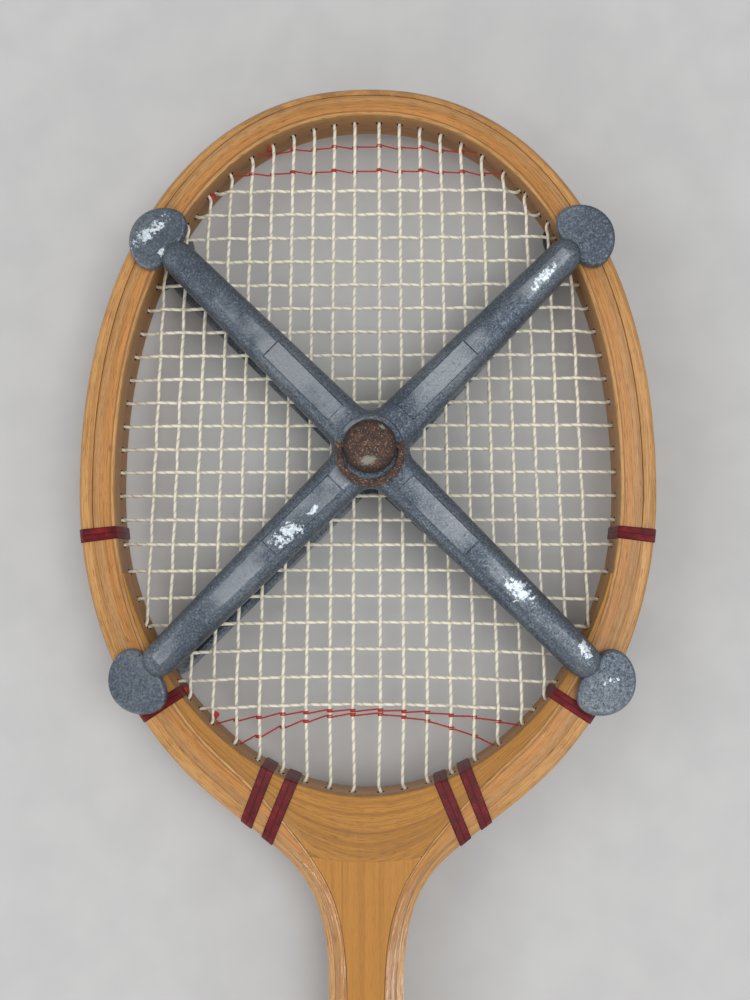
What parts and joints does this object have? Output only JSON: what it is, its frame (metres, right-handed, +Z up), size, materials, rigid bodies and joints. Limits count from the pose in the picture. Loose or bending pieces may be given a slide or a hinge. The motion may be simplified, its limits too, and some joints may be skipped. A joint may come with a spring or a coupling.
{
  "type": "tennis racket in a clamp press",
  "caption": "Laminated wooden tennis racket with a woven string bed, red trebling and whipped bindings, shut in a cast cross-shaped press with a clamp screw and folding bail",
  "frame": {"origin": "middle of the overall plan on the plane that the press stands on, under the racket", "axes": "+Y along the racket towards the head, +X across it to its right, +Z up out of the string bed"},
  "size_m": [0.228, 0.686, 0.0485],
  "materials": {
    "ash": "bent ash under glossy varnish",
    "outer_ash": "bent outer strips under glossy varnish",
    "yoke_wood": "varnished throat piece",
    "pallet_wood": "varnished handle pallets",
    "string": "twisted gut, aged",
    "trebling_thread": "fine red thread",
    "binding_thread": "burgundy thread under varnish",
    "leather": "worn dark leather",
    "butt_leather": "dark leather",
    "cast_metal": "slate blue-grey cast metal with worn paint",
    "rusty_steel": "rusted steel"
  },
  "bodies": {
    "racket": {"inner_bow": "ash", "outer_head_strip": "outer_ash", "left_shoulder_strip": "outer_ash", "right_shoulder_strip": "outer_ash", "throat_yoke": "yoke_wood", "throat_wedge": "ash", "handle_upper_pallet": "pallet_wood", "handle_lower_pallet": "pallet_wood", "main_string": "string", "cross_string": "string", "top_trebling_upper": "trebling_thread", "top_trebling_lower": "trebling_thread", "throat_trebling_upper": "trebling_thread", "throat_trebling_lower": "trebling_thread", "left_side_binding": "binding_thread", "left_shoulder_binding": "binding_thread", "left_throat_binding_inner": "binding_thread", "left_throat_binding_outer": "binding_thread", "right_side_binding": "binding_thread", "right_shoulder_binding": "binding_thread", "right_throat_binding_inner": "binding_thread", "right_throat_binding_outer": "binding_thread", "leather_grip": "leather", "grip_collar": "butt_leather", "butt_cap": "butt_leather"},
    "lower_press": {"lower_press_cross": "cast_metal"},
    "upper_press": {"upper_press_cross": "cast_metal"},
    "screw": {"clamp_screw": "rusty_steel"},
    "bail": {"screw_bail": "rusty_steel"}
  },
  "joints": [
    {"name": "press_open", "type": "slide", "parent": "racket", "child": "lower_press", "axis": [0, 0, -1], "range_m": [0, 0.008]},
    {"name": "press_lift", "type": "slide", "parent": "racket", "child": "upper_press", "axis": [0, 0, 1], "range_m": [0, 0.05]},
    {"name": "screw_turn", "type": "hinge", "parent": "upper_press", "child": "screw", "pos_m": [0.0019, 0.1955, 0.0435], "axis": [0, 0, 1], "range_deg": [0, 1440]},
    {"name": "bail_fold", "type": "hinge", "parent": "screw", "child": "bail", "pos_m": [0.0019, 0.1955, 0.0435], "axis": [-1, 0, 0], "range_deg": [0, 180]}
  ],
  "couplings": [
    {"joint": "screw_turn", "follows": "press_open", "rad_per_m": 3141.6}
  ]
}
